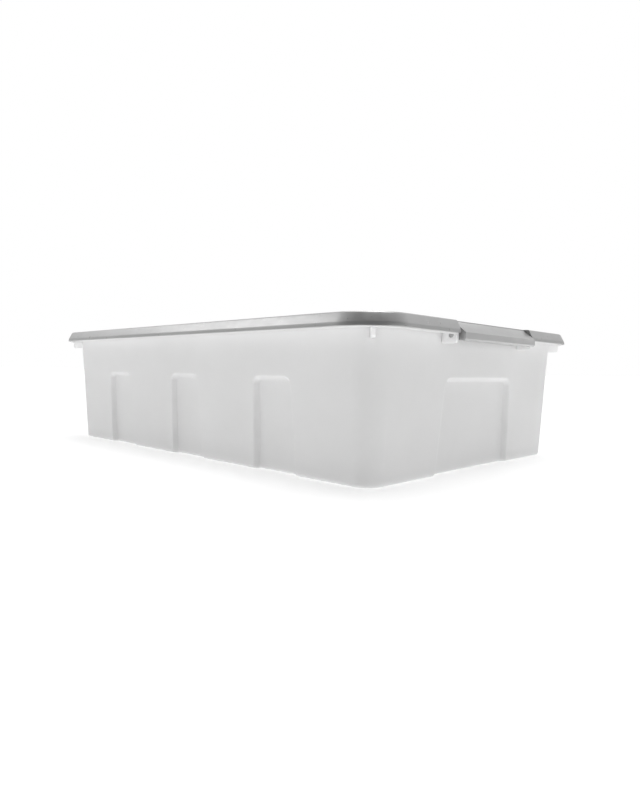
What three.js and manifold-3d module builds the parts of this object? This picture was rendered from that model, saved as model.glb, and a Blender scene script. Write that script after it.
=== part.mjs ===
// A shallow storage box: a drafted tub with a beaded rim, a lid whose skirt covers the rim,
// and one wide latch at each end that swings on stub pins held between two lugs of the tub.
// Millimetres. X runs along the box, Y across it, Z up; the origin is the middle of the base.

import * as THREE from 'three';
import { mergeVertices } from 'three/addons/utils/BufferGeometryUtils.js';
import Module from 'manifold-3d';

const wasm = await Module();
wasm.setup();

// ---- Driving dimensions -------------------------------------------------------------------

const BOX_HEIGHT = 170;

// The base outline, and how much the walls lean outwards for each millimetre of height.
const BASE = { length: 612, width: 396, radius: 21 };
const DRAFT = 0.0567;
const BASE_ROUND = 4;
const WALL = 2.2;
const FLOOR = 2.5;

// Heights of the rim and of the lid's skirt; "out" is a distance outside the base outline.
const RIM_TOP = 167.2;
const RIM_PLATE = 2.6;
const RIM_FOOT_Z = 154.6;
const RIM_OUTLINE = [
  { z: RIM_FOOT_Z, out: 26.4 },
  { z: 157.5, out: 26.2 },
  { z: 166.4, out: 22.6 },
  { z: RIM_TOP, out: 21.8 },
];
const LID_PLATE = 2.5;
const LID_FOOT_Z = 155.9;
const LID_BEND_Z = 159.8;
const LID_OUTLINE = [
  { z: LID_FOOT_Z, out: 29.7 },
  { z: LID_BEND_Z, out: 28.9 },
  { z: 168.6, out: 24.5 },
  { z: 169.6, out: 23.8 },
  { z: BOX_HEIGHT, out: 22.6 },
];
const SKIRT_WALL = 1.9;

// The lid's sunken field takes the base of the box stacked above it.
const FIELD = { z: 166, out: 1.5, lean: 1, wall: 2.2 };
const PLATEAU = { length: 548, width: 332, radius: 24, rise: 1.2, slope: 2 };

// The recesses pressed into the walls: half widths at the floor and at the top, then the height.
const LONG_RECESS = { foot: 36, head: 31, height: 108, radius: 10 };
const LONG_RECESS_PITCH = 170;
const END_RECESS = { foot: 84, head: 76.5, height: 109, radius: 11 };
const RECESS_DEPTH = 6;
const RECESS_SPLAY = 2.5;

// The latch bays: "half" is half the width across the end, everything is mirrored about Y = 0.
const RIM_BAY = { half: 90.2, back: 320.5 };
const LID_BAY = { half: 86.2, back: 322.6, wall: 1.7, foot: 160.2 };
const LUG = { inner: 85.9, outer: 90.2, foot: 145.3, end: 332.4, top: 159.3, round: 3.6, chamfer: 1.6 };
const PIVOT = { x: 325.7, z: 154.2, pin: 2.8, hole: 3.1, boss: 4.5, end: 89.7 };
const LATCH = { half: 83.6, back: 323.2, front: 339.5, top: 168.8, wall: 2.3 };
const LATCH_BROW = { x: 323.8, chamferZ: 156.9, footZ: 150.3 };
const LATCH_LIP = { x: 337.7, z: 148, edge: 0.8, step: 0.6 };
const LATCH_ARM = { outer: 80.5, thickness: 2.8, joinX: 335.4 };
const LATCH_RIB = { places: [-27.5, 27.5], thickness: 1.8, back: 325.6, depth: 4, foot: 151.3, front: 333.2 };

// The gussets that carry the rim at the four corners.
const GUSSET = { foot: 145.6, reach: 44.5, thickness: 4, round: 3 };

const CORNER_STEPS = 7;
const ROUND_STEPS = 4;
const PIN_STEPS = 20;
const BEYOND = 12;
const OVERLAP = 1;
const WELD = 1e-4;

const PLASTIC = {
  tub: { color: 0xe4e6e8, roughness: 0.42, metalness: 0 },
  lid: { color: 0xa9aaac, roughness: 0.34, metalness: 0.1 },
  latch: { color: 0x9c9ea1, roughness: 0.36, metalness: 0.1 },
};

// ---- Solids -------------------------------------------------------------------------------

function solid(geometry) {
  const bare = geometry.clone();
  bare.deleteAttribute('normal');
  bare.deleteAttribute('uv');
  const welded = mergeVertices(bare, WELD);
  return new wasm.Manifold(new wasm.Mesh({
    numProp: 3,
    vertProperties: new Float32Array(welded.attributes.position.array),
    triVerts: new Uint32Array(welded.index.array),
  }));
}

function geometryOf(manifold) {
  const mesh = manifold.getMesh();
  const geometry = new THREE.BufferGeometry();
  geometry.setAttribute('position', new THREE.BufferAttribute(mesh.vertProperties, 3));
  geometry.setIndex(new THREE.BufferAttribute(mesh.triVerts, 1));
  geometry.computeVertexNormals();
  return geometry;
}

function join(solids) {
  return solids.reduce((whole, piece) => whole.add(piece));
}

function box(low, high) {
  const size = high.map((value, axis) => value - low[axis]);
  const geometry = new THREE.BoxGeometry(...size);
  geometry.translate(...low.map((value, axis) => value + size[axis] / 2));
  return solid(geometry);
}

// A flat outline in X and Z made into a plate that runs from one Y to a higher one.
function plate(shape, fromY, toY, curveSegments = ROUND_STEPS) {
  const options = { depth: toY - fromY, bevelEnabled: false, curveSegments };
  const geometry = new THREE.ExtrudeGeometry(shape, options);
  geometry.rotateX(Math.PI / 2);
  geometry.translate(0, toY, 0);
  return solid(geometry);
}

function outlineOf(points) {
  return new THREE.Shape(points.map(([x, z]) => new THREE.Vector2(x, z)));
}

function roundedRectangle({ length, width, radius }) {
  const x = length / 2 - radius;
  const y = width / 2 - radius;
  const quarter = Math.PI / 2;
  const shape = new THREE.Shape();
  shape.absarc(x, -y, radius, -quarter, 0);
  shape.absarc(x, y, radius, 0, quarter);
  shape.absarc(-x, y, radius, quarter, 2 * quarter);
  shape.absarc(-x, -y, radius, 2 * quarter, 3 * quarter);
  return shape;
}

// A closed solid through rounded rectangles. Each section gives its height and how far it stands
// outside the plan; the corners keep their centres, so their radius grows with that distance.
function loft(plan, sections) {
  const steps = sections.length - 1;
  const options = { depth: 1, steps, bevelEnabled: false, curveSegments: CORNER_STEPS };
  const geometry = new THREE.ExtrudeGeometry(roundedRectangle(plan), options);
  const position = geometry.attributes.position;
  const point = new THREE.Vector3();
  for (let i = 0; i < position.count; i++) {
    point.fromBufferAttribute(position, i);
    const { z, out } = sections[Math.round(point.z * steps)];
    const centreX = Math.sign(point.x) * (plan.length / 2 - plan.radius);
    const centreY = Math.sign(point.y) * (plan.width / 2 - plan.radius);
    const growth = (plan.radius + out) / plan.radius;
    const x = centreX + (point.x - centreX) * growth;
    const y = centreY + (point.y - centreY) * growth;
    position.setXYZ(i, x, y, z);
  }
  return solid(geometry);
}

// How far out an outline stands at a height between its corner points.
function outAt(outline, z) {
  const above = outline.findIndex((point) => point.z >= z);
  const [low, high] = [outline[above - 1], outline[above]];
  return low.out + ((high.out - low.out) * (z - low.z)) / (high.z - low.z);
}

// Both ends of the box are alike, turned half a turn about Z.
function atBothEnds(piece) {
  return piece.add(turned(piece, Math.PI));
}

function turned(piece, angle) {
  const geometry = geometryOf(piece);
  geometry.rotateZ(angle);
  return solid(geometry);
}

// ---- The tub ------------------------------------------------------------------------------

// The drafted wall, rounded into the base; "inset" is how far the surface lies inside the outer one.
function wallSections(inset, bottom, top) {
  const sections = [];
  for (let step = 0; step <= ROUND_STEPS; step++) {
    const angle = (step / ROUND_STEPS) * (Math.PI / 2);
    const rise = BASE_ROUND * (1 - Math.cos(angle));
    const back = BASE_ROUND * (1 - Math.sin(angle));
    sections.push({ z: bottom + rise, out: DRAFT * (bottom + rise) - inset - back });
  }
  sections.push({ z: top, out: DRAFT * top - inset });
  return sections;
}

// A recess seen square on, open below the base. Its bevel splays the sides out to the wall.
// "grow" makes it larger all round, for the bulge that it leaves inside the tub.
function recessTool(recess, half, grow) {
  const foot = recess.foot - RECESS_SPLAY + grow;
  const head = recess.head - RECESS_SPLAY + grow;
  const height = recess.height - RECESS_SPLAY + grow;
  const lean = (foot - head) / height;
  const shoulder = height - recess.radius;
  const shoulderHalf = head + lean * recess.radius;
  const shape = new THREE.Shape();
  shape.moveTo(-foot - lean * BEYOND, -BEYOND);
  shape.lineTo(foot + lean * BEYOND, -BEYOND);
  shape.lineTo(shoulderHalf, shoulder);
  shape.quadraticCurveTo(head, height, head - recess.radius, height);
  shape.lineTo(recess.radius - head, height);
  shape.quadraticCurveTo(-head, height, -shoulderHalf, shoulder);
  const geometry = new THREE.ExtrudeGeometry(shape, {
    depth: BEYOND,
    bevelThickness: RECESS_DEPTH + grow,
    bevelSize: RECESS_SPLAY,
    bevelSegments: 1,
    curveSegments: ROUND_STEPS,
  });
  geometry.rotateX(Math.PI / 2);
  geometry.translate(0, -half, 0);
  const draft = new THREE.Matrix4().makeShear(0, 0, 0, 0, 0, -DRAFT);
  geometry.applyMatrix4(draft);
  return geometry;
}

function recessTools(grow) {
  const tools = [];
  for (const side of [0, Math.PI]) {
    for (const place of [-LONG_RECESS_PITCH, 0, LONG_RECESS_PITCH]) {
      const long = recessTool(LONG_RECESS, BASE.width / 2, grow);
      long.translate(place, 0, 0);
      long.rotateZ(side);
      tools.push(solid(long));
    }
    const end = recessTool(END_RECESS, BASE.length / 2, grow);
    end.rotateZ(side + Math.PI / 2);
    tools.push(solid(end));
  }
  return join(tools);
}

function rim() {
  const outside = loft(BASE, RIM_OUTLINE);
  const hollow = loft(BASE, [
    { z: RIM_FOOT_Z - BEYOND, out: RIM_OUTLINE[0].out - WALL },
    { z: RIM_FOOT_Z, out: RIM_OUTLINE[0].out - WALL },
    { z: RIM_OUTLINE[1].z, out: RIM_OUTLINE[1].out - WALL },
    { z: RIM_TOP - RIM_PLATE, out: RIM_OUTLINE[2].out - WALL },
  ]);
  const low = [RIM_BAY.back, -RIM_BAY.half, RIM_FOOT_Z - BEYOND];
  const high = [LATCH.front, RIM_BAY.half, RIM_TOP + BEYOND];
  return outside.subtract(hollow).subtract(atBothEnds(box(low, high)));
}

// The lug's outline stays inside the lid's skirt above the skirt's foot.
function lug(fromY, toY) {
  const root = BASE.length / 2 + DRAFT * LUG.foot - WALL / 2;
  const rimRoot = RIM_BAY.back - OVERLAP;
  const top = RIM_TOP - RIM_PLATE / 2;
  const shape = new THREE.Shape();
  shape.moveTo(root, LUG.foot);
  shape.lineTo(LUG.end - LUG.round, LUG.foot);
  shape.quadraticCurveTo(LUG.end, LUG.foot, LUG.end, LUG.foot + LUG.round);
  shape.lineTo(LUG.end, LUG.top - LUG.chamfer);
  shape.lineTo(LUG.end - LUG.chamfer, LUG.top);
  shape.lineTo(rimRoot, LUG.top);
  shape.lineTo(rimRoot, top);
  shape.lineTo(root, top);
  const hole = new THREE.Path();
  hole.absarc(PIVOT.x, PIVOT.z, PIVOT.hole, 0, 2 * Math.PI);
  shape.holes.push(hole);
  return plate(shape, fromY, toY, PIN_STEPS);
}

function gusset(signX, signY) {
  const centreX = signX * (BASE.length / 2 - BASE.radius);
  const centreY = signY * (BASE.width / 2 - BASE.radius);
  const root = BASE.radius + DRAFT * GUSSET.foot - WALL / 2;
  const top = RIM_TOP - RIM_PLATE / 2;
  const lowRim = RIM_FOOT_Z + OVERLAP;
  const shape = outlineOf([
    [root, GUSSET.foot],
    [GUSSET.reach - GUSSET.round, GUSSET.foot],
    [GUSSET.reach, GUSSET.foot + GUSSET.round],
    [GUSSET.reach + WALL / 2, lowRim],
    [GUSSET.reach - WALL / 2, top],
    [root, top],
  ]);
  const geometry = geometryOf(plate(shape, -GUSSET.thickness / 2, GUSSET.thickness / 2));
  geometry.rotateZ(Math.atan2(signY, signX));
  geometry.translate(centreX, centreY, 0);
  return solid(geometry);
}

function tubGeometry() {
  const outside = loft(BASE, wallSections(0, 0, RIM_TOP)).subtract(recessTools(0));
  const cavity = loft(BASE, wallSections(WALL, FLOOR, RIM_TOP + BEYOND)).subtract(recessTools(WALL));
  const lugs = atBothEnds(lug(LUG.inner, LUG.outer).add(lug(-LUG.outer, -LUG.inner)));
  const gussets = [];
  for (const signX of [-1, 1]) {
    for (const signY of [-1, 1]) {
      gussets.push(gusset(signX, signY));
    }
  }
  return geometryOf(join([outside, rim(), lugs, ...gussets]).subtract(cavity));
}

// ---- The lid ------------------------------------------------------------------------------

// The wall that lines the back and both ends of a latch bay; the bay itself is cut from it.
function bayLining(top) {
  const back = LID_BAY.back - LID_BAY.wall;
  const skirtX = (z) => BASE.length / 2 + outAt(LID_OUTLINE, z) - SKIRT_WALL / 2;
  const half = LID_BAY.half + LID_BAY.wall;
  return plate(outlineOf([
    [back, LID_BAY.foot],
    [skirtX(LID_BAY.foot), LID_BAY.foot],
    [skirtX(top), top],
    [back, top],
  ]), -half, half);
}

function lidGeometry() {
  const underside = BOX_HEIGHT - LID_PLATE;
  const hollow = loft(BASE, [
    { z: LID_FOOT_Z - BEYOND, out: LID_OUTLINE[0].out - SKIRT_WALL },
    { z: LID_FOOT_Z, out: LID_OUTLINE[0].out - SKIRT_WALL },
    { z: LID_BEND_Z, out: LID_OUTLINE[1].out - SKIRT_WALL },
    { z: underside, out: outAt(LID_OUTLINE, underside) - SKIRT_WALL },
  ]);
  const plug = loft(BASE, [
    { z: FIELD.z - FIELD.wall, out: FIELD.out + FIELD.wall - FIELD.lean },
    { z: underside + LID_PLATE / 2, out: FIELD.out + FIELD.wall },
  ]);
  const field = loft(BASE, [
    { z: FIELD.z, out: FIELD.out - FIELD.lean },
    { z: BOX_HEIGHT, out: FIELD.out },
    { z: BOX_HEIGHT + BEYOND, out: FIELD.out },
  ]);
  const plateau = loft(PLATEAU, [
    { z: FIELD.z - FIELD.wall / 2, out: 0 },
    { z: FIELD.z, out: 0 },
    { z: FIELD.z + PLATEAU.rise, out: -PLATEAU.slope },
  ]);
  const bayLow = [LID_BAY.back, -LID_BAY.half, LID_FOOT_Z - BEYOND];
  const bayHigh = [LATCH.front, LID_BAY.half, BOX_HEIGHT + BEYOND];
  const linings = atBothEnds(bayLining(underside + LID_PLATE / 2));
  const shell = loft(BASE, LID_OUTLINE).subtract(hollow).add(plug).subtract(field).add(plateau);
  return geometryOf(shell.add(linings).subtract(atBothEnds(box(bayLow, bayHigh))));
}

// ---- The latch ----------------------------------------------------------------------------

// The height of the sloping top at a distance from the middle of the box.
function slopeZ(x) {
  const fall = (LATCH.top - LATCH_BROW.chamferZ) / (LATCH.front - LATCH_BROW.x);
  return LATCH.top - fall * (x - LATCH_BROW.x);
}

// The bent panel: a long slope, an upright face and a finger lip.
function latchPanel() {
  const inner = LATCH.front - LATCH.wall;
  const run = LATCH.front - LATCH_BROW.x;
  const drop = (LATCH.wall * Math.hypot(run, LATCH.top - LATCH_BROW.chamferZ)) / run;
  return plate(outlineOf([
    [LATCH.back, LATCH.top],
    [LATCH.back, slopeZ(LATCH.back) - drop],
    [inner, slopeZ(inner) - drop],
    [inner, LATCH_BROW.footZ + LATCH_LIP.step],
    [LATCH_LIP.x - LATCH.wall, LATCH_LIP.z + LATCH_LIP.step],
    [LATCH_LIP.x - LATCH_LIP.edge, LATCH_LIP.z],
    [LATCH_LIP.x, LATCH_LIP.z],
    [LATCH.front, LATCH_BROW.footZ],
    [LATCH.front, LATCH_BROW.chamferZ],
    [LATCH_BROW.x, LATCH.top],
  ]), -LATCH.half, LATCH.half);
}

// A low hook set in from the panel's end: it runs back from the front face to the stub pin.
// Its top edge ends at joinX, inside the sloping wall.
function latchArm(fromY, toY) {
  const inFront = LATCH.front - LATCH.wall / 2;
  const quarter = Math.PI / 2;
  const shape = new THREE.Shape();
  shape.moveTo(LATCH_ARM.joinX, PIVOT.z + PIVOT.boss);
  shape.absarc(PIVOT.x, PIVOT.z, PIVOT.boss, quarter, 3 * quarter);
  shape.lineTo(LATCH_LIP.x - LATCH.wall, LATCH_LIP.z + LATCH_LIP.step);
  shape.lineTo(LATCH_LIP.x - LATCH_LIP.edge, LATCH_LIP.z + LATCH_LIP.step);
  shape.lineTo(inFront, LATCH_BROW.footZ);
  shape.lineTo(inFront, LATCH_BROW.chamferZ);
  return plate(shape, fromY, toY, PIN_STEPS);
}

function latchRib(y) {
  const frontX = LATCH.front - LATCH.wall / 2;
  const skin = LATCH.wall / 2;
  return plate(outlineOf([
    [LATCH_RIB.back, slopeZ(LATCH_RIB.back) - skin],
    [LATCH_RIB.back, slopeZ(LATCH_RIB.back) - LATCH_RIB.depth],
    [LATCH_RIB.front, LATCH_RIB.foot],
    [frontX, LATCH_RIB.foot],
    [frontX, slopeZ(frontX) - skin],
  ]), y - LATCH_RIB.thickness / 2, y + LATCH_RIB.thickness / 2);
}

// The stub pin starts inside the arm, so that the two are one moulding.
function stubPin(side) {
  const root = LATCH_ARM.outer - LATCH_ARM.thickness / 2;
  const length = PIVOT.end - root;
  const geometry = new THREE.CylinderGeometry(PIVOT.pin, PIVOT.pin, length, PIN_STEPS);
  geometry.translate(PIVOT.x, side * (root + length / 2), PIVOT.z);
  return solid(geometry);
}

function latchGeometry() {
  const { outer, thickness } = LATCH_ARM;
  const arms = [latchArm(outer - thickness, outer), latchArm(-outer, thickness - outer)];
  const ribs = LATCH_RIB.places.map(latchRib);
  return geometryOf(join([latchPanel(), ...arms, ...ribs, stubPin(1), stubPin(-1)]));
}

// ---- Assembly -----------------------------------------------------------------------------

function piece(name, geometry, plastic) {
  const mesh = new THREE.Mesh(geometry, new THREE.MeshStandardMaterial(plastic));
  mesh.name = name;
  return mesh;
}

const underBedBox = new THREE.Group();
underBedBox.add(piece('storage_tub', tubGeometry(), PLASTIC.tub));
underBedBox.add(piece('lid', lidGeometry(), PLASTIC.lid));
underBedBox.add(piece('right_latch', latchGeometry(), PLASTIC.latch));
const leftLatch = piece('left_latch', latchGeometry(), PLASTIC.latch);
leftLatch.rotation.z = Math.PI;
underBedBox.add(leftLatch);

export default underBedBox;
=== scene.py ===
"""A shallow under bed storage box: translucent tub, silver-grey lid and two hinged end latches.

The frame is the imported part's own: +X along the box, +Y across it, +Z up. Lengths are in metres,
apart from the profiles, which are in millimetres. "out" is always a distance outside the outline of
the box's base.
"""

import math
from collections import namedtuple

import bmesh
import bpy
from mathutils import Matrix, Vector


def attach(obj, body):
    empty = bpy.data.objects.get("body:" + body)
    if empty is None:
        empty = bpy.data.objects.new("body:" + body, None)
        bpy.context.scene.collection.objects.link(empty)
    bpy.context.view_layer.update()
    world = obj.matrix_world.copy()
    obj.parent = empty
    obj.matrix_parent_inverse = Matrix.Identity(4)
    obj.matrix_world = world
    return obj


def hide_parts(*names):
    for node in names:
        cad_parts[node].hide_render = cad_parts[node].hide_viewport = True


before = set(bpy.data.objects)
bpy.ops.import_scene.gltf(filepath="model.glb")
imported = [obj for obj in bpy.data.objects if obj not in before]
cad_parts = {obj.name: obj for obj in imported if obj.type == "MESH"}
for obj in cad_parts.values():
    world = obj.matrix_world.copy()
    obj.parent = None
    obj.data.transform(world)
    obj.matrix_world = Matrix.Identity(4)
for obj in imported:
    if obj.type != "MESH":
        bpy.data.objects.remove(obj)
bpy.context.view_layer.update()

MM = 0.001

# A rounded rectangle, centred on the box.
Rect = namedtuple("Rect", "length width radius")
# One level of a sweep. Where grow isn't None the recesses are pressed in, that much wider.
Row = namedtuple("Row", "rect z grow")
# One column of a sweep. value is an angle in a corner, and a distance along a side.
Station = namedtuple("Station", "kind index value lean")
# The recesses of one side: foot and head are half widths at the base and at the top.
Recess = namedtuple("Recess", "places foot head height radius")
# Place, target and size in metres, power in watts, and whether reflections show the light.
Softbox = namedtuple("Softbox", "name place target size power mirrored")

# ---- Sizes of the mouldings ------------------------------------------------------------------

BASE = Rect(0.612, 0.396, 0.021)
# How far the walls lean out for each metre of height.
DRAFT = 0.0567
BASE_ROUND = 0.004
WALL = 0.0022
FLOOR = 0.0025
# The outline of the flat face that closes either end of a sweep.
CENTRE_OUT = -0.019

LONG_RECESS = Recess((-0.170, 0.0, 0.170), 0.036, 0.031, 0.108, 0.010)
END_RECESS = Recess((0.0,), 0.084, 0.0765, 0.109, 0.011)
RECESS_DEPTH = 0.006
# The width of the slope between the wall and the bottom of a recess.
RECESS_SPLAY = 0.0055
# How much wider a recess is on the inside of the wall.
RECESS_GROW_INSIDE = 0.7 * WALL

# The bays that the latches sit in, cut into the rim and the lid.
RIM_BAY_HALF = 0.0902
RIM_BAY_BACK = 0.3205
LID_BAY_HALF = 0.0862
LID_BAY_BACK = 0.3226
LID_BAY_WALL = 0.0017
BAY_CORNER = 0.0015
BAY_LOW = 0.150
BAY_HIGH = 0.180
BAY_FAR = 0.360

PIVOT = Vector((0.3257, 0.0, 0.1542))
PIVOT_HOLE = 0.0031
PIVOT_BOSS = 0.0045
PIN_RADIUS = 0.0028
PIN_END = 0.0897
LUG_INNER = 0.0859
LUG_OUTER = 0.0902
LUG_SOFTENING = 0.0004
GUSSET_THICKNESS = 0.004
GUSSET_SOFTENING = 0.0005

LATCH_HALF = 0.0836
LATCH_ARM_OUTER = 0.0805
LATCH_ARM = 0.0028
LATCH_RIB = 0.0018
LATCH_RIBS = (-0.0275, 0.0275)
LATCH_SOFTENING = 0.0005

# Profiles as (out, z, setback of the rounding) in millimetres.
RIM_PROFILE = [
    (9.07, 160.0, 0),
    (9.33, 164.6, 1.2),
    (20.4, 164.6, 1.6),
    (24.0, 157.5, 1.5),
    (24.2, 154.6, 0.7),
    (26.4, 154.6, 0.7),
    (26.2, 157.5, 1.5),
    (22.2, 167.2, 1.3),
    (7.28, 167.2, 0.9),
    (6.87, 160.0, 0),
]
LID_PROFILE = [
    (-5.0, 166.0, 0),
    (0.6, 166.0, 1.6),
    (1.5, 170.0, 1.0),
    (23.8, 170.0, 1.9),
    (28.9, 159.8, 0.6),
    (29.7, 155.9, 0.5),
    (27.8, 155.9, 0.5),
    (27.0, 159.8, 0.7),
    (23.1, 167.5, 1.2),
    (3.7, 167.5, 1.2),
    (2.8, 163.8, 1.4),
    (-6.0, 163.8, 0),
]
# Profiles as (x, z, setback of the rounding) in millimetres.
LUG_PROFILE = [
    (313.2, 145.3, 0),
    (332.4, 145.3, 3.6),
    (332.4, 157.7, 0.6),
    (330.8, 159.3, 0.6),
    (319.5, 159.3, 0),
    (319.5, 165.9, 0),
    (313.2, 165.9, 0),
]
# The same, but as distances from the middle of the corner's rounding.
GUSSET_PROFILE = [(44.5, 145.6, 3.2), (45.5, 155.0, 0.5), (42.9, 165.9, 0)]
# Profiles as (x, z) in millimetres.
BAY_LINING_PROFILE = [(320.9, 160.2), (333.9, 160.2), (329.5, 168.75), (320.9, 168.75)]
LATCH_PROFILE = [
    (323.2, 168.8),
    (323.2, 166.4),
    (337.2, 155.8),
    (337.2, 150.9),
    (335.4, 148.6),
    (336.9, 148.0),
    (337.7, 148.0),
    (339.5, 150.3),
    (339.5, 156.9),
    (323.8, 168.8),
]
LATCH_ARM_FRONT = [
    (335.4, 148.6),
    (336.9, 148.6),
    (338.35, 150.3),
    (338.35, 156.9),
    (335.4, 158.7),
]
LATCH_RIB_PROFILE = [
    (325.6, 166.3),
    (325.6, 163.4),
    (333.2, 151.3),
    (338.4, 151.3),
    (338.4, 156.6),
]

# The raised panel in the middle of the lid's sunken field.
PLATEAU = Rect(0.548, 0.332, 0.024)
PLATEAU_RISE = 0.0012
PLATEAU_SLOPE = 0.004
FIELD_Z = 0.166

# ---- How fine the meshes are -----------------------------------------------------------------

CORNER_STEPS = 16
ROUNDING_STEPS = 4
PLATEAU_STEPS = 6
PIN_STEPS = 32
PIN_ARC_STEPS = 16
BLOCK_CORNER_STEPS = 4
FLOOR_STEPS = 64
SHARP_ANGLE = math.radians(38)
SOFTENED_ANGLE = math.radians(30)
WELD_DISTANCE = 1e-6

# Levels of the tub's wall: close together where the recesses end.
LOW_LEVELS = (0.010, 0.025, 0.040, 0.055, 0.070, 0.082, 0.090)
RECESS_LEVELS_START = 0.0945
RECESS_LEVEL_GAP = 0.0007
RECESS_LEVELS = 24
HIGH_LEVELS = (0.118, 0.130, 0.145)

# Columns of the tub's wall, counted inwards from the edge of a recess: over its slope, with one
# more on either side, then over its bottom. Between recesses they are shares of the way.
SLOPE_COLUMNS = 6
BOTTOM_COLUMNS = 7
BOTTOM_COLUMN_GAP = 0.0012
COLUMNS_BETWEEN = (0.33, 0.67)

# Columns of a plain side are about this far apart.
PLAIN_COLUMN_GAP = 0.045

# ---- Mesh helpers ----------------------------------------------------------------------------


def around(out):
    """The outline that runs round the base's own, a distance out from it."""
    return Rect(BASE.length + 2 * out, BASE.width + 2 * out, BASE.radius + out)


def metres(points):
    return [(x * MM, z * MM) for x, z in points]


def smooth(t):
    """From 0 to 1 with a soft start and end."""
    t = min(max(t, 0.0), 1.0)
    return t * t * (3 - 2 * t)


def rounded(points):
    """The polyline with each corner replaced by a curve that starts its setback away."""
    line = []
    for i, (x, z, setback) in enumerate(points):
        corner = Vector((x, z))
        if setback == 0:
            line.append(corner)
            continue
        before = Vector(points[i - 1][:2])
        after = Vector(points[i + 1][:2])
        start = corner + (before - corner).normalized() * setback
        end = corner + (after - corner).normalized() * setback
        for step in range(ROUNDING_STEPS + 1):
            t = step / ROUNDING_STEPS
            line.append(start * (1 - t) ** 2 + corner * 2 * t * (1 - t) + end * t * t)
    return line


def round_pivot(radius, turns):
    """Points at a radius round the right latch's pin, as (x, z)."""
    return [(PIVOT.x + radius * math.cos(a), PIVOT.z + radius * math.sin(a)) for a in turns]


def shade_smooth(mesh):
    mesh.polygons.foreach_set("use_smooth", [True] * len(mesh.polygons))
    mesh.set_sharp_from_angle(angle=SHARP_ANGLE)


def mesh_object(name, bm):
    bmesh.ops.recalc_face_normals(bm, faces=bm.faces)
    mesh = bpy.data.meshes.new(name)
    bm.to_mesh(mesh)
    bm.free()
    shade_smooth(mesh)
    made = bpy.data.objects.new(name, mesh)
    bpy.context.scene.collection.objects.link(made)
    return made


def finished_mesh(made):
    """The object's mesh with its modifiers, or its curve's extrusion, worked out."""
    graph = bpy.context.evaluated_depsgraph_get()
    return bpy.data.meshes.new_from_object(made.evaluated_get(graph))


def apply_modifiers(made):
    finished = finished_mesh(made)
    made.modifiers.clear()
    made.data = finished
    shade_smooth(finished)
    return made


def combine(made, tools, operation):
    """Joins tools to the object, or cuts them from it, and removes them."""
    for tool in tools:
        modifier = made.modifiers.new("combine", "BOOLEAN")
        modifier.operation = operation
        modifier.solver = "EXACT"
        modifier.object = tool
    apply_modifiers(made)
    for tool in tools:
        bpy.data.objects.remove(tool)
    return made


def extruded(name, outline, low_y, high_y, holes=()):
    """A plate whose outline lies in X and Z (metres), from one Y to another."""
    curve = bpy.data.curves.new(name, "CURVE")
    curve.dimensions = "2D"
    curve.fill_mode = "BOTH"
    curve.extrude = (high_y - low_y) / 2
    for loop in (outline, *holes):
        spline = curve.splines.new("POLY")
        spline.points.add(len(loop) - 1)
        for point, (x, z) in zip(spline.points, loop):
            point.co = (x, z, 0, 1)
        spline.use_cyclic_u = True
    made = bpy.data.objects.new(name, curve)
    bpy.context.scene.collection.objects.link(made)
    mesh = finished_mesh(made)
    bpy.data.objects.remove(made)
    bm = bmesh.new()
    bm.from_mesh(mesh)
    bmesh.ops.remove_doubles(bm, verts=bm.verts, dist=WELD_DISTANCE)
    upright = Matrix.Rotation(math.pi / 2, 3, "X")
    bmesh.ops.rotate(bm, verts=bm.verts, cent=(0, 0, 0), matrix=upright)
    bmesh.ops.translate(bm, verts=bm.verts, vec=(0, (low_y + high_y) / 2, 0))
    return mesh_object(name, bm)


def block(name, low, high, rounding):
    """A box whose upright edges are rounded."""
    bm = bmesh.new()
    bmesh.ops.create_cube(bm, size=1)
    size = Vector(high) - Vector(low)
    for vertex in bm.verts:
        vertex.co = Vector(low) + Vector(((vertex.co[i] + 0.5) * size[i] for i in range(3)))
    upright = [e for e in bm.edges if abs(e.verts[0].co.z - e.verts[1].co.z) > size.z / 2]
    bmesh.ops.bevel(
        bm, geom=upright, offset=rounding, segments=BLOCK_CORNER_STEPS, affect="EDGES", profile=0.5
    )
    return mesh_object(name, bm)


def soften(made, width, segments=2):
    """Bevels the object's sharper edges."""
    modifier = made.modifiers.new("soften", "BEVEL")
    modifier.width = width
    modifier.segments = segments
    modifier.limit_method = "ANGLE"
    modifier.angle_limit = SOFTENED_ANGLE
    return apply_modifiers(made)


def far_copy(made, name):
    """A copy at the other end, turned half round about the box's upright middle line."""
    copy = made.copy()
    copy.data = made.data.copy()
    copy.name = copy.data.name = name
    copy.data.transform(Matrix.Rotation(math.pi, 4, "Z"))
    bpy.context.scene.collection.objects.link(copy)
    return copy


def merged(name, parts):
    """One object from several closed shells."""
    bm = bmesh.new()
    for part in parts:
        bm.from_mesh(part.data)
        bpy.data.objects.remove(part)
    return mesh_object(name, bm)


# ---- Sweeping rows round the box -------------------------------------------------------------

# Each side's way out and the way along it: front, right, back and left.
SIDES = (
    (Vector((0, -1, 0)), Vector((1, 0, 0))),
    (Vector((1, 0, 0)), Vector((0, 1, 0))),
    (Vector((0, 1, 0)), Vector((-1, 0, 0))),
    (Vector((-1, 0, 0)), Vector((0, -1, 0))),
)


def side_halves(rect, index):
    """Half the distance across the box at this side, and half its straight length."""
    if index % 2 == 0:
        return rect.width / 2, rect.length / 2 - rect.radius
    return rect.length / 2, rect.width / 2 - rect.radius


def recess_of(index):
    return LONG_RECESS if index % 2 == 0 else END_RECESS


def lean_of(recess):
    """How far the sides of a recess lean in for each metre of height."""
    return (recess.foot - recess.head) / recess.height


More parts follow.
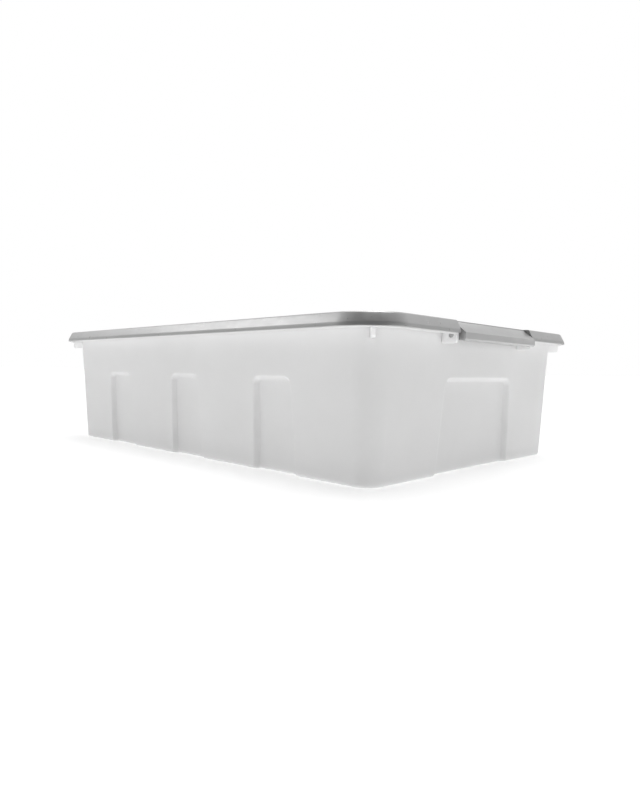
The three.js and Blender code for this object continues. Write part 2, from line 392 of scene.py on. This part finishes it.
def dent(along, z, recess, grow):
    """How deep the wall is pressed in at a place on a side."""
    deepest = 0.0
    for centre in recess.places:
        half = recess.foot - lean_of(recess) * z + grow
        side = abs(along - centre) - (half - recess.radius)
        top = z - (recess.height + grow - recess.radius)
        outside = math.hypot(max(side, 0), max(top, 0)) + min(max(side, top), 0) - recess.radius
        deepest = max(deepest, smooth(-outside / RECESS_SPLAY))
    return deepest * RECESS_DEPTH


def place(station, row):
    """The point of a sweep where a column meets a row."""
    rect = row.rect
    normal, tangent = SIDES[station.index]
    across, straight = side_halves(rect, station.index)
    level = Vector((0, 0, row.z))
    if station.kind == "corner":
        centre = normal * across - normal * rect.radius
        centre += tangent * straight
        turn = normal * math.cos(station.value) + tangent * math.sin(station.value)
        return centre + turn * rect.radius + level
    base_straight = side_halves(BASE, station.index)[1]
    along = station.value + station.lean * row.z
    if row.grow is not None:
        across -= dent(along, row.z, recess_of(station.index), row.grow)
    return normal * across + tangent * (along * straight / base_straight) + level


def sweep(rows, stations):
    """A closed surface: the rows in order, with a flat face inside the first and the last one."""
    bm = bmesh.new()
    rings = [[bm.verts.new(place(station, row)) for station in stations] for row in rows]
    count = len(stations)
    for low, high in zip(rings, rings[1:]):
        for i in range(count):
            j = (i + 1) % count
            bm.faces.new((low[i], low[j], high[j], high[i]))
    bm.faces.new(rings[0][::-1])
    bm.faces.new(rings[-1])
    return bm


def corner_stations(index):
    """The columns round the corner at the end of a side."""
    return [
        Station("corner", index, step / CORNER_STEPS * math.pi / 2, 0.0)
        for step in range(CORNER_STEPS + 1)
    ]


def plain_stations():
    """Columns for walls without recesses."""
    stations = []
    for index in range(4):
        straight = side_halves(BASE, index)[1]
        count = round(2 * straight / PLAIN_COLUMN_GAP)
        for step in range(1, count):
            along = straight * (2 * step / count - 1)
            stations.append(Station("side", index, along, 0.0))
        stations += corner_stations(index)
    return stations


def recess_stations():
    """Columns that follow the leaning sides of the recesses, close together on their slopes."""
    insets = [RECESS_SPLAY * step / SLOPE_COLUMNS for step in range(-1, SLOPE_COLUMNS + 2)]
    insets += [insets[-1] + BOTTOM_COLUMN_GAP * step for step in range(1, BOTTOM_COLUMNS + 1)]
    stations = []
    for index in range(4):
        recess = recess_of(index)
        lean = lean_of(recess)
        straight = side_halves(BASE, index)[1]
        columns = []
        for centre in recess.places:
            for inset in insets:
                columns.append((centre - recess.foot + inset, lean))
                columns.append((centre + recess.foot - inset, -lean))
            columns.append((centre, 0.0))
        edges = [side * recess.foot + centre for centre in recess.places for side in (-1, 1)]
        ends = [-straight, *edges, straight]
        for low, high in zip(ends[::2], ends[1::2]):
            columns += [(low + (high - low) * t, 0.0) for t in COLUMNS_BETWEEN]
        stations += [Station("side", index, *column) for column in sorted(columns)]
        stations += corner_stations(index)
    return stations


# ---- The tub ---------------------------------------------------------------------------------


def wall_rows(bottom, inset, grow):
    """The rounded foot of the wall and the wall above it, an inset in from the outer surface."""
    rows = []
    for step in range(ROUNDING_STEPS + 1):
        angle = step / ROUNDING_STEPS * math.pi / 2
        z = bottom + BASE_ROUND * (1 - math.cos(angle))
        back = BASE_ROUND * (1 - math.sin(angle))
        rows.append(Row(around(DRAFT * z - inset - back), z, grow))
    recess_levels = [
        RECESS_LEVELS_START + RECESS_LEVEL_GAP * step for step in range(RECESS_LEVELS)
    ]
    for z in (*LOW_LEVELS, *recess_levels, *HIGH_LEVELS):
        rows.append(Row(around(DRAFT * z - inset), z, grow))
    return rows


def bay_cuts(back, half):
    """The blocks that cut the latch bays out of both ends."""
    near = block("bay", (back, -half, BAY_LOW), (BAY_FAR, half, BAY_HIGH), BAY_CORNER)
    return [near, far_copy(near, "far_bay")]


def tub_shell():
    """The floor, walls and rim, swept from under the floor, up, over the rim and down inside."""
    rows = [Row(around(CENTRE_OUT), 0.0, None)]
    rows += wall_rows(0.0, 0.0, 0.0)
    rows += [Row(around(out * MM), z * MM, None) for out, z in rounded(RIM_PROFILE)]
    rows += reversed(wall_rows(FLOOR, WALL, RECESS_GROW_INSIDE))
    rows.append(Row(around(CENTRE_OUT), FLOOR, None))
    shell = mesh_object("tub_shell", sweep(rows, recess_stations()))
    return combine(shell, bay_cuts(RIM_BAY_BACK, RIM_BAY_HALF), "DIFFERENCE")


def lug(low_y, high_y):
    """One of the plates under the rim whose holes hold the right latch's pins."""
    hole = round_pivot(PIVOT_HOLE, [step / PIN_STEPS * 2 * math.pi for step in range(PIN_STEPS)])
    outline = metres(rounded(LUG_PROFILE))
    return soften(extruded("lug", outline, low_y, high_y, [hole]), LUG_SOFTENING)


def gusset(sign_x, sign_y):
    """The upright web under the rim at one corner."""
    foot, head = GUSSET_PROFILE[0][1], GUSSET_PROFILE[-1][1]
    root = (BASE.radius + DRAFT * foot * MM - WALL / 2) / MM
    outline = metres(rounded([(root, foot, 0), *GUSSET_PROFILE, (root, head, 0)]))
    half = GUSSET_THICKNESS / 2
    made = soften(extruded("gusset", outline, -half, half), GUSSET_SOFTENING)
    made.data.transform(Matrix.Rotation(math.atan2(sign_y, sign_x), 4, "Z"))
    centre = Vector((BASE.length / 2 - BASE.radius, BASE.width / 2 - BASE.radius, 0))
    made.data.transform(Matrix.Translation((sign_x * centre.x, sign_y * centre.y, 0)))
    return made


def make_tub():
    parts = [tub_shell()]
    for low_y, high_y in ((LUG_INNER, LUG_OUTER), (-LUG_OUTER, -LUG_INNER)):
        near = lug(low_y, high_y)
        parts += [far_copy(near, "far_lug"), near]
    parts += [gusset(x, y) for x in (-1, 1) for y in (-1, 1)]
    return merged("tub_moulding", parts)


# ---- The lid ---------------------------------------------------------------------------------


def make_lid():
    """Swept from the raised panel out over the skirt and back under, then cut for the latches."""
    rows = []
    for step in range(PLATEAU_STEPS + 1):
        t = step / PLATEAU_STEPS
        shrink = 2 * PLATEAU_SLOPE * (1 - t)
        rect = Rect(PLATEAU.length - shrink, PLATEAU.width - shrink, PLATEAU.radius - shrink / 2)
        rows.append(Row(rect, FIELD_Z + PLATEAU_RISE * (1 - smooth(t)), None))
    rows += [Row(around(out * MM), z * MM, None) for out, z in rounded(LID_PROFILE)]
    rows.append(Row(around(CENTRE_OUT), rows[-1].z, None))
    lid = mesh_object("lid_moulding", sweep(rows, plain_stations()))
    lining_half = LID_BAY_HALF + LID_BAY_WALL
    lining = extruded("bay_lining", metres(BAY_LINING_PROFILE), -lining_half, lining_half)
    combine(lid, [lining, far_copy(lining, "far_bay_lining")], "UNION")
    return combine(lid, bay_cuts(LID_BAY_BACK, LID_BAY_HALF), "DIFFERENCE")


# ---- The latches -----------------------------------------------------------------------------


def latch_arm(low_y, high_y):
    """A low hook from behind the latch's face to round its pin."""
    turns = [math.pi * (0.5 + step / PIN_ARC_STEPS) for step in range(PIN_ARC_STEPS + 1)]
    outline = round_pivot(PIVOT_BOSS, turns) + metres(LATCH_ARM_FRONT)
    return extruded("latch_arm", outline, low_y, high_y)


def latch_rib(y):
    return extruded("latch_rib", metres(LATCH_RIB_PROFILE), y - LATCH_RIB / 2, y + LATCH_RIB / 2)


def stub_pin(side):
    """The pin on one of the right latch's arms; side is 1 or -1 along Y."""
    bm = bmesh.new()
    root = LATCH_ARM_OUTER - LATCH_ARM / 2
    length = PIN_END - root
    turn = Matrix.Rotation(math.pi / 2, 4, "X")
    move = Matrix.Translation((PIVOT.x, side * (root + length / 2), PIVOT.z))
    bmesh.ops.create_cone(
        bm, cap_ends=True, segments=PIN_STEPS, radius1=PIN_RADIUS, radius2=PIN_RADIUS,
        depth=length, matrix=move @ turn,
    )
    return mesh_object("stub_pin", bm)


def make_latch(name):
    """The right latch: a bent panel with two arms, a pin on each, and two ribs inside."""
    latch = extruded(name, metres(LATCH_PROFILE), -LATCH_HALF, LATCH_HALF)
    tools = [
        latch_arm(LATCH_ARM_OUTER - LATCH_ARM, LATCH_ARM_OUTER),
        latch_arm(-LATCH_ARM_OUTER, LATCH_ARM - LATCH_ARM_OUTER),
        stub_pin(1),
        stub_pin(-1),
        *(latch_rib(y) for y in LATCH_RIBS),
    ]
    combine(latch, tools, "UNION")
    return soften(latch, LATCH_SOFTENING, segments=3)


# ---- Materials -------------------------------------------------------------------------------

# Sockets of a Mix node that mixes colours, whose names aren't unique.
MIX_FACTOR, MIX_LOW, MIX_HIGH, MIX_RESULT = 0, 6, 7, 2
# Where most of a noise's values lie.
NOISE_LOW, NOISE_HIGH = 0.3, 0.7


def grey(level):
    return (level, level, level, 1)


def new_material(name):
    material = bpy.data.materials.new(name)
    material.use_nodes = True
    nodes = material.node_tree.nodes
    return material, nodes, material.node_tree.links, nodes["Principled BSDF"]


def noise(nodes, links, scale, detail, roughness=0.55):
    """Noise fixed to the piece, about 1 / scale metres coarse."""
    coordinates = nodes.new("ShaderNodeTexCoord")
    made = nodes.new("ShaderNodeTexNoise")
    made.inputs["Scale"].default_value = scale
    made.inputs["Detail"].default_value = detail
    made.inputs["Roughness"].default_value = roughness
    links.new(coordinates.outputs["Object"], made.inputs["Vector"])
    return made.outputs["Fac"]


def ramp(nodes, links, source, low, high, start=NOISE_LOW, end=NOISE_HIGH):
    """From low to high while the source goes from start to end."""
    made = nodes.new("ShaderNodeMapRange")
    made.inputs["From Min"].default_value = start
    made.inputs["From Max"].default_value = end
    made.inputs["To Min"].default_value = low
    made.inputs["To Max"].default_value = high
    links.new(source, made.inputs["Value"])
    return made.outputs["Result"]


def times(nodes, links, one, other):
    made = nodes.new("ShaderNodeMath")
    made.operation = "MULTIPLY"
    links.new(one, made.inputs[0])
    links.new(other, made.inputs[1])
    return made.outputs["Value"]


def mottled(nodes, links, source, low, high):
    """A grey that wanders between two levels with a noise."""
    made = nodes.new("ShaderNodeMix")
    made.data_type = "RGBA"
    made.inputs[MIX_LOW].default_value = grey(low)
    made.inputs[MIX_HIGH].default_value = grey(high)
    links.new(ramp(nodes, links, source, 0, 1), made.inputs[MIX_FACTOR])
    return made.outputs[MIX_RESULT]


def bump(nodes, links, height, distance, strength, before=None):
    made = nodes.new("ShaderNodeBump")
    made.inputs["Distance"].default_value = distance
    made.inputs["Strength"].default_value = strength
    links.new(height, made.inputs["Height"])
    if before is not None:
        links.new(before, made.inputs["Normal"])
    return made.outputs["Normal"]


def translucent_plastic():
    """Milky plastic with soft flow variation, a fine grain, faint scuffs and wavy walls."""
    material, nodes, links, shader = new_material("translucent_tub_plastic")
    flow = noise(nodes, links, scale=7.0, detail=3.0)
    grain = noise(nodes, links, scale=1500.0, detail=2.0)
    waves = noise(nodes, links, scale=16.0, detail=2.0)
    scuffs = noise(nodes, links, scale=90.0, detail=6.0, roughness=0.7)
    links.new(mottled(nodes, links, flow, 0.84, 0.89), shader.inputs["Base Color"])
    links.new(ramp(nodes, links, scuffs, 0.34, 0.46), shader.inputs["Roughness"])
    fine = bump(nodes, links, grain, distance=0.00006, strength=0.25)
    wavy = bump(nodes, links, waves, distance=0.0009, strength=0.3, before=fine)
    links.new(wavy, shader.inputs["Normal"])
    shader.inputs["Subsurface Weight"].default_value = 0.5
    shader.inputs["Subsurface Radius"].default_value = (1.0, 1.0, 1.0)
    shader.inputs["Subsurface Scale"].default_value = 0.006
    shader.inputs["IOR"].default_value = 1.49
    return material


def silver_plastic(name, greys, metallic, roughness):
    """Silver-grey satin plastic: metal flake in the colour, a fine grain and faint scuffs."""
    material, nodes, links, shader = new_material(name)
    flow = noise(nodes, links, scale=9.0, detail=3.0)
    grain = noise(nodes, links, scale=2200.0, detail=2.0)
    scuffs = noise(nodes, links, scale=120.0, detail=6.0, roughness=0.7)
    links.new(mottled(nodes, links, flow, *greys), shader.inputs["Base Color"])
    links.new(ramp(nodes, links, scuffs, *roughness), shader.inputs["Roughness"])
    fine = bump(nodes, links, grain, distance=0.00004, strength=0.3)
    links.new(fine, shader.inputs["Normal"])
    shader.inputs["Metallic"].default_value = metallic
    shader.inputs["IOR"].default_value = 1.5
    return material


def dress(piece, material, body, slot, *nodes):
    """Gives a piece its material and its body, and hides the nodes that it replaces. The slot is
    not used.
    """
    piece.data.materials.clear()
    piece.data.materials.append(material)
    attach(piece, body)
    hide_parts(*nodes)


# ---- Studio ----------------------------------------------------------------------------------

CAMERA_PLACE = Vector((0.658, -0.634, 0.1134))
CAMERA_YAW = math.radians(43.81)
CAMERA_PITCH = math.radians(-2.77)
CAMERA_ROLL = math.radians(0.915)
CAMERA_LENS = 26.54
CAMERA_SENSOR = 36.0
CAMERA_CLIP = 0.01

FLOOR_RADIUS = 60
# Just low enough that the floor and the box's base don't share a plane.
FLOOR_Z = -0.0002
FLOOR_GREY = 0.9
FLOOR_ROUGHNESS = 0.6

# Ramps as (value at the start, value at the end, start, end).
# The floor's glow, by distance from the middle of the box.
FLOOR_GLOW = (0.42, 0.90, 0.8, 4.0)
# The room's strength, by how far a direction turns towards the dark side, and by how far it rises.
ROOM_AROUND = (0.98, 0.06, -0.38, 0.46)
ROOM_UPWARD = (0.75, 1.15, 0.05, 0.45)
ROOM_DARK_SIDE = math.radians(-43)
# The share of the room's strength that matt surfaces get. Reflections get all of it.
ROOM_SOFT_SHARE = 0.7

SOFTBOXES = (
    Softbox("top_softbox", (0.1, 0.3, 2.4), (0, 0, 0), (2.2, 1.6), 31, True),
    Softbox("left_softbox", (-1.5, -1.0, 1.4), (0.1, -0.2, 0.16), (0.8, 0.8), 3.2, True),
    Softbox("front_softbox", (0.6, -2.2, 0.2), (0, 0, 0.05), (2.0, 0.4), 6.5, False),
    Softbox("right_softbox", (2.2, 0.4, 0.3), (0, 0, 0.1), (1.6, 0.6), 4.5, True),
)


def make_camera():
    data = bpy.data.cameras.new("camera")
    data.lens = CAMERA_LENS
    data.sensor_width = CAMERA_SENSOR
    data.clip_start = CAMERA_CLIP
    camera = bpy.data.objects.new("camera", data)
    turn = Matrix.Rotation(CAMERA_YAW, 4, "Z") @ Matrix.Rotation(math.pi / 2 + CAMERA_PITCH, 4, "X")
    roll = Matrix.Rotation(CAMERA_ROLL, 4, "Z")
    camera.matrix_world = Matrix.Translation(CAMERA_PLACE) @ turn @ roll
    bpy.context.scene.collection.objects.link(camera)
    bpy.context.scene.camera = camera


def make_floor():
    """A wide pale floor that glows a little, and more far off, so that it stays white."""
    bm = bmesh.new()
    bmesh.ops.create_circle(bm, cap_ends=True, segments=FLOOR_STEPS, radius=FLOOR_RADIUS)
    floor = mesh_object("studio_floor", bm)
    material, nodes, links, shader = new_material("studio_floor_paint")
    shader.inputs["Base Color"].default_value = grey(FLOOR_GREY)
    shader.inputs["Roughness"].default_value = FLOOR_ROUGHNESS
    shader.inputs["Emission Color"].default_value = grey(1)
    distance = nodes.new("ShaderNodeVectorMath")
    distance.operation = "LENGTH"
    links.new(nodes.new("ShaderNodeTexCoord").outputs["Object"], distance.inputs[0])
    glow = ramp(nodes, links, distance.outputs["Value"], *FLOOR_GLOW)
    links.new(glow, shader.inputs["Emission Strength"])
    floor.data.materials.append(material)
    floor.location.z = FLOOR_Z


def make_softbox(box):
    data = bpy.data.lights.new(box.name, "AREA")
    data.shape = "RECTANGLE"
    data.size, data.size_y = box.size
    data.energy = box.power
    light = bpy.data.objects.new(box.name, data)
    light.location = box.place
    aim = Vector(box.target) - Vector(box.place)
    light.rotation_euler = aim.to_track_quat("-Z", "Y").to_euler()
    light.visible_camera = False
    light.visible_glossy = box.mirrored
    bpy.context.scene.collection.objects.link(light)


def make_world():
    """Plain white where it is seen; as light, a soft room that is darker on one side."""
    world = bpy.data.worlds.new("studio")
    world.use_nodes = True
    bpy.context.scene.world = world
    nodes, links = world.node_tree.nodes, world.node_tree.links
    backdrop = nodes["Background"]
    backdrop.inputs["Color"].default_value = grey(1)
    backdrop.inputs["Strength"].default_value = 1.0
    room = nodes.new("ShaderNodeBackground")
    towards = nodes.new("ShaderNodeVectorMath")
    towards.operation = "DOT_PRODUCT"
    dark_side = (math.cos(ROOM_DARK_SIDE), math.sin(ROOM_DARK_SIDE), 0.0)
    towards.inputs[1].default_value = dark_side
    coordinates = nodes.new("ShaderNodeTexCoord")
    links.new(coordinates.outputs["Generated"], towards.inputs[0])
    direction = nodes.new("ShaderNodeSeparateXYZ")
    links.new(coordinates.outputs["Generated"], direction.inputs[0])
    sight = nodes.new("ShaderNodeLightPath")
    shade = times(
        nodes, links,
        ramp(nodes, links, towards.outputs["Value"], *ROOM_AROUND),
        ramp(nodes, links, direction.outputs["Z"], *ROOM_UPWARD),
    )
    soft_share = ramp(nodes, links, sight.outputs["Is Diffuse Ray"], 1.0, ROOM_SOFT_SHARE, 0, 1)
    links.new(times(nodes, links, shade, soft_share), room.inputs["Strength"])
    choose = nodes.new("ShaderNodeMixShader")
    links.new(sight.outputs["Is Camera Ray"], choose.inputs[0])
    links.new(room.outputs[0], choose.inputs[1])
    links.new(backdrop.outputs[0], choose.inputs[2])
    links.new(choose.outputs[0], nodes["World Output"].inputs["Surface"])


def make_studio():
    make_camera()
    make_floor()
    make_world()
    for box in SOFTBOXES:
        make_softbox(box)
    bpy.context.scene.view_settings.view_transform = "Standard"


# ---- Assembly --------------------------------------------------------------------------------

make_studio()
tub_plastic = translucent_plastic()
lid_plastic = silver_plastic(
    "silver_lid_plastic", greys=(0.46, 0.52), metallic=0.75, roughness=(0.26, 0.38)
)
latch_plastic = silver_plastic(
    "silver_latch_plastic", greys=(0.47, 0.52), metallic=0.6, roughness=(0.30, 0.42)
)

dress(make_tub(), tub_plastic, "tub", "tub_plastic", "storage_tub")
dress(make_lid(), lid_plastic, "lid", "lid_plastic", "lid")
right_latch = make_latch("right_latch_moulding")
left_latch = far_copy(right_latch, "left_latch_moulding")
dress(right_latch, latch_plastic, "right_latch", "latch_plastic", "right_latch")
dress(left_latch, latch_plastic, "left_latch", "latch_plastic", "left_latch")
